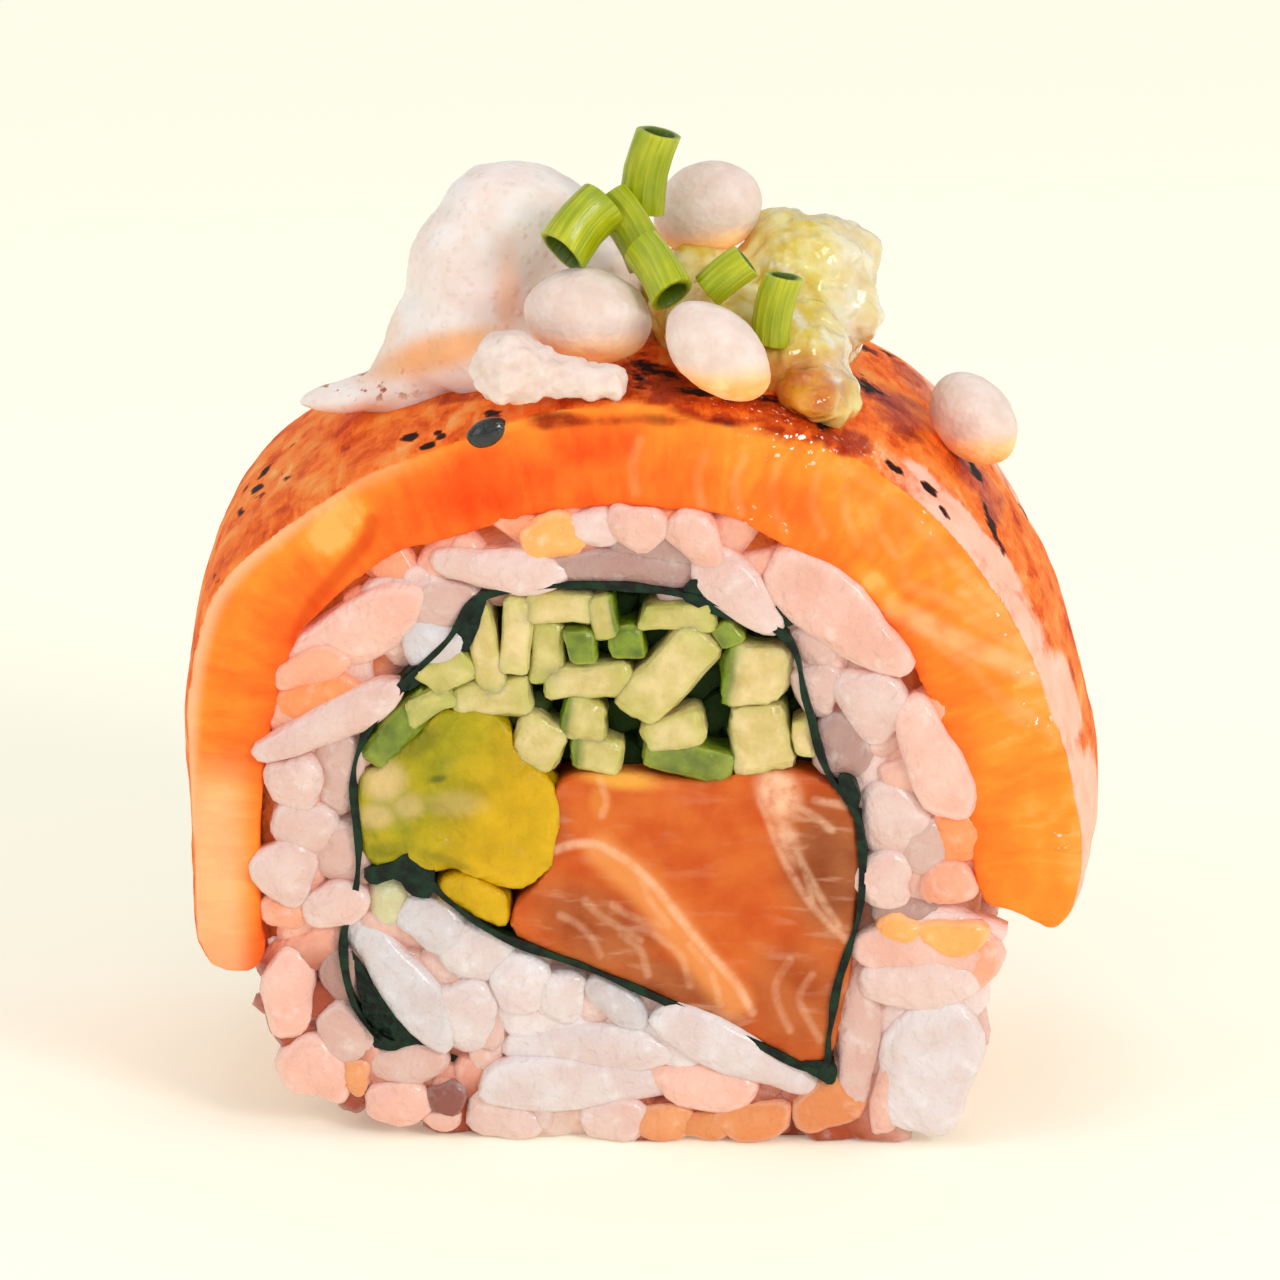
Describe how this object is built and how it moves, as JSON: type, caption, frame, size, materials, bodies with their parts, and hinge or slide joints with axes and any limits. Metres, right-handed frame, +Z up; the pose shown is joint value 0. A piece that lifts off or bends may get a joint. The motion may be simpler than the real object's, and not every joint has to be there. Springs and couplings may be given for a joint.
{
  "type": "uramaki roll",
  "caption": "Piece of inside-out sushi roll with a seared salmon slice over rice, nori round cucumber, avocado and salmon, and sauce, relish, puffed rice and chives on top.",
  "frame": {"origin": "under the middle of the piece, on the surface that it stands on", "axes": "+X to the right and +Z up as seen on the front cut face, which looks towards -Y"},
  "size_m": [0.0547, 0.0275, 0.06],
  "materials": {
    "seared_salmon": "moist salmon flesh, browned and glazed on its outer side",
    "raw_salmon": "moist raw salmon with pale fat lines",
    "rice": "moist cooked rice, browned by sauce near the base",
    "nori": "moist dried seaweed, dark green",
    "cucumber": "moist cut cucumber with green skin",
    "avocado": "soft ripe avocado",
    "puffed_rice": "dry puffed rice, sauce on the underside",
    "chive": "fresh cut chive",
    "white_sauce": "thick foamy sauce",
    "relish": "wet yellow-green fruit pulp"
  },
  "bodies": {
    "root": {"salmon_slice": "seared_salmon", "sushi_rice": "rice", "nori_sheet": "nori", "salmon_strip": "raw_salmon", "avocado_piece": "avocado", "avocado_end": "avocado", "cucumber_sticks": "cucumber", "puffed_rice_back": "puffed_rice", "puffed_rice_middle": "puffed_rice", "puffed_rice_front": "puffed_rice", "puffed_rice_right": "puffed_rice", "tailed_crisp": "puffed_rice", "chive_upright": "chive", "chive_left": "chive", "chive_middle": "chive", "chive_lower": "chive", "chive_front": "chive", "chive_right": "chive", "white_sauce": "white_sauce", "relish": "relish"}
  },
  "joints": []
}
